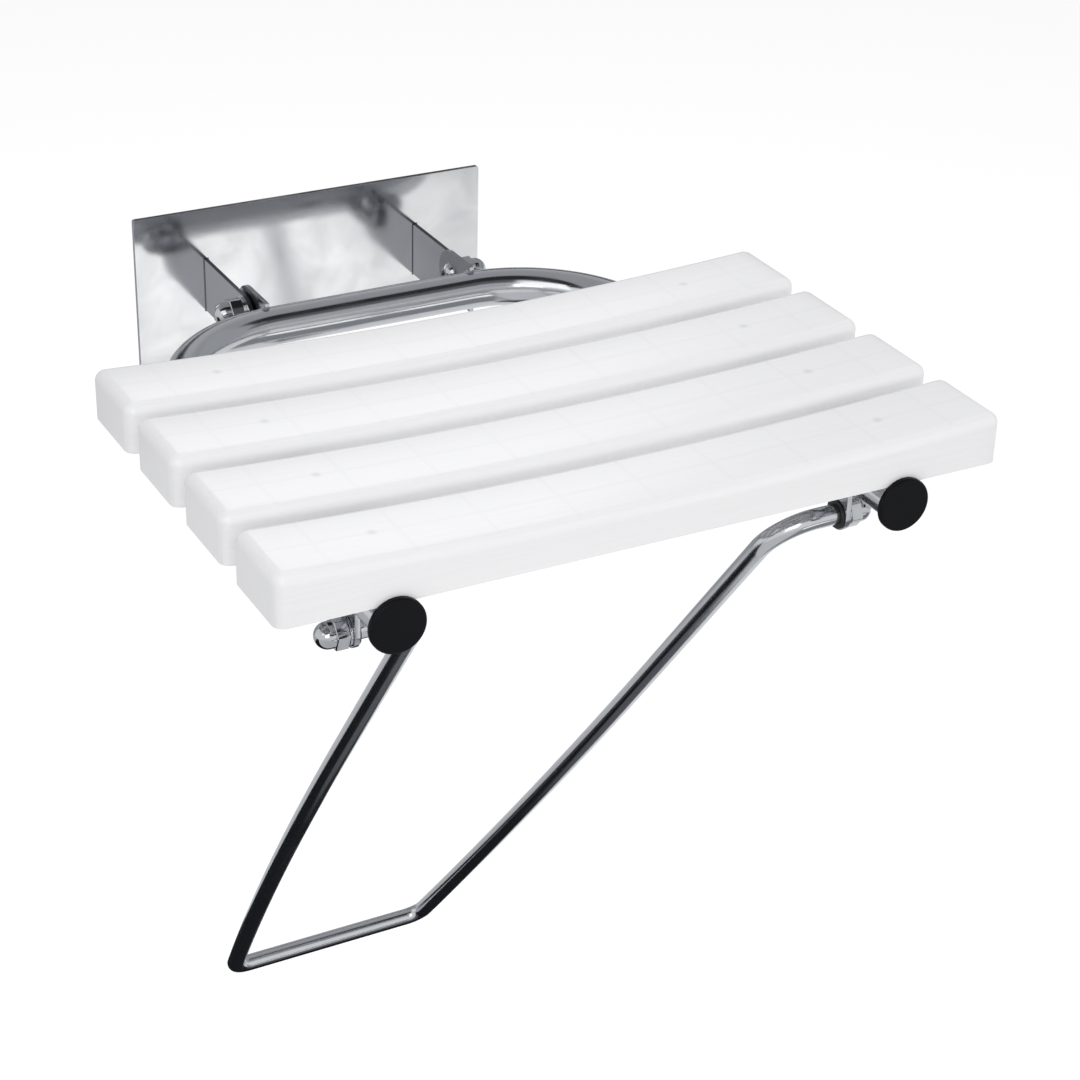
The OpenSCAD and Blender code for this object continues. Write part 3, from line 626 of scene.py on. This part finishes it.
# Cards and cloths stand out of view, so that the polished steel has something to mirror: dark
# cloths on the floor under the seat, grey walls behind and to the right, a grey card in front
# and a black strip overhead; the white studio shows between them
cards = [
    ("blackCloth", "#202124", 1, (-2.5, -0.34, -0.77), (0.22, 0.35, -0.77)),
    ("greyPatch", "#616367", 1, (-0.2, -0.35, -0.765), (0.25, -0.13, -0.765)),
    ("greyCloth", "#989A9E", 1, (0.22, -2.9, -0.77), (1.8, -0.4, -0.77)),
    ("whitePaper", "#F5F5F4", 1.85, (0.3, -2.05, -0.76), (0.8, -1.4, -0.76)),
    ("palePaper", "#F5F5F4", 1.5, (0.8, -2.05, -0.76), (1.3, -1.4, -0.76)),
    ("leftPaper", "#E1E2E4", 1, (-2.5, -2.9, -0.77), (0.22, -0.34, -0.77)),
    ("palePaperRight", "#F6F6F7", 1, (0.22, -0.4, -0.77), (1.8, 1.3, -0.77)),
    ("greyFloorCard", "#D2D3D6", 1, (-2.5, 0.35, -0.765), (0.3, 1.3, -0.765)),
    ("blackOverhead", "#2C2D2F", 1, (-3, -1.4, 2.4), (1.9, -0.2, 2.4)),
    ("greyOverhead", "#AFB0B4", 1, (-3, -0.2, 2.4), (1.9, 1.3, 2.4)),
    ("leftWindow", "#FFFFFF", 1.7, (-2.1, -1.0, 0.8), (-0.6, -2.1, 2.4)),
    ("greyWall", "#AFB0B4", 1, (-1.5, 1.3, -0.77), (1.9, 1.3, 2.4)),
    ("darkWallStrip", "#2E2F32", 1, (-0.6, 1.29, 0.3), (1.6, 1.29, 0.67)),
    ("greyRightWall", "#B6B8BB", 1, (1.9, -1.4, 0), (1.9, 1.3, 2.4)),
    ("greyFrontCard", "#C1C2C6", 1, (-0.2, -1.4, 0.5), (1.9, -1.4, 1.3)),
    ("darkFrontCard", "#616367", 1, (-0.2, -1.4, 1.3), (1.9, -1.4, 2.4)),
]
for name, code, strength, first, last in cards:
    span, middle = Vector(last) - Vector(first), (Vector(last) + Vector(first)) / 2
    bm = bmesh.new()
    verts = bmesh.ops.create_grid(bm, x_segments=1, y_segments=1, size=0.5)["verts"]
    if span.z:  # it stands
        bmesh.ops.scale(bm, verts=verts, vec=(span.xy.length, span.z, 1))
        turnAbout(bm, verts, 90, "X")
        turnAbout(bm, verts, math.degrees(math.atan2(span.y, span.x)), "Z")
    else:
        bmesh.ops.scale(bm, verts=verts, vec=(span.x, span.y, 1))
    bmesh.ops.translate(bm, verts=verts, vec=middle)
    mesh = bpy.data.meshes.new(name)
    bm.to_mesh(mesh)
    bm.free()
    paper = bpy.data.materials.new(name + "Paper")
    paper.use_nodes = True
    paper.node_tree.nodes.clear()
    glow = addNode(paper.node_tree, "Emission", {"Color": toLinear(code), "Strength": strength})[0]
    addNode(paper.node_tree, "OutputMaterial", links={"Surface": glow})
    mesh.materials.append(paper)
    card = bpy.data.objects.new(name, mesh)
    scene.collection.objects.link(card)
    for ray in ("camera", "diffuse", "shadow", "transmission", "volume_scatter"):
        setattr(card, "visible_" + ray, False)

aim = Vector((0, -0.3, -0.05))
world = bpy.data.worlds.new("paleStudio")
scene.world = world
world.use_nodes = True
tree = world.node_tree
tree.nodes.clear()
path = addNode(tree, "LightPath")
seen = addNode(tree, "Math", {"operation": "MAXIMUM"},
               {0: path["Is Camera Ray"], 1: path["Is Glossy Ray"]})[0]
seen = addNode(tree, "Math", {"operation": "MAXIMUM"}, {0: seen, 1: path["Is Transmission Ray"]})[0]
level = addNode(tree, "MapRange", {"To Min": studio["ambient"], "To Max": 1.0}, {"Value": seen})[0]
sky = addNode(tree, "Background", {"Color": (1, 1, 1, 1)}, {"Strength": level})[0]
addNode(tree, "OutputWorld", links={"Surface": sky})

lamps = [
    ("keyBox", (1.3, -2.0, 2.0), 1.3, 7),
    ("fillBox", (-1.1, -2.5, 1.0), 1.4, 12),
    ("rimBox", (0.95, 1.9, 1.4), 0.9, 5),
    ("topBox", (-0.1, -0.5, 0.62), 0.35, 0.4),
]
for name, at, size, power in lamps:
    data = bpy.data.lights.new(name, "AREA")
    data.shape = "SQUARE"
    data.size = size
    data.energy = power
    lamp = bpy.data.objects.new(name, data)
    lamp.location = at
    lamp.rotation_mode = "QUATERNION"
    lamp.rotation_quaternion = (Vector(at) - aim).to_track_quat("Z", "Y")
    lamp.visible_camera = False
    lamp.visible_glossy = name != "topBox"
    scene.collection.objects.link(lamp)
scene.view_settings.view_transform = "Standard"
print("studio lit")


view = {"focalPixels": 2577.81, "frame": 1080, "yaw": 28.46, "pitch": 28.51, "roll": -1.53,
        "at": (-0.64336, -1.52982, 0.68547)}
yaw, pitch, roll = (math.radians(view[k]) for k in ("yaw", "pitch", "roll"))
ahead = Vector((math.sin(yaw) * math.cos(pitch), math.cos(yaw) * math.cos(pitch), -math.sin(pitch)))
right = Vector((math.cos(yaw), -math.sin(yaw), 0))
down = ahead.cross(right)
across = math.cos(roll) * right + math.sin(roll) * down
below = -math.sin(roll) * right + math.cos(roll) * down
cameraData = bpy.data.cameras.new("photoCamera")
cameraData.sensor_width = 36
cameraData.lens = view["focalPixels"] / view["frame"] * 36
cameraData.clip_start, cameraData.clip_end = 0.05, 50
cameraObject = bpy.data.objects.new("photoCamera", cameraData)
cameraObject.rotation_mode = "QUATERNION"
cameraObject.rotation_quaternion = Matrix((across, -below, -ahead)).transposed().to_quaternion()
cameraObject.location = view["at"]
scene.collection.objects.link(cameraObject)
scene.camera = cameraObject
print("camera set")
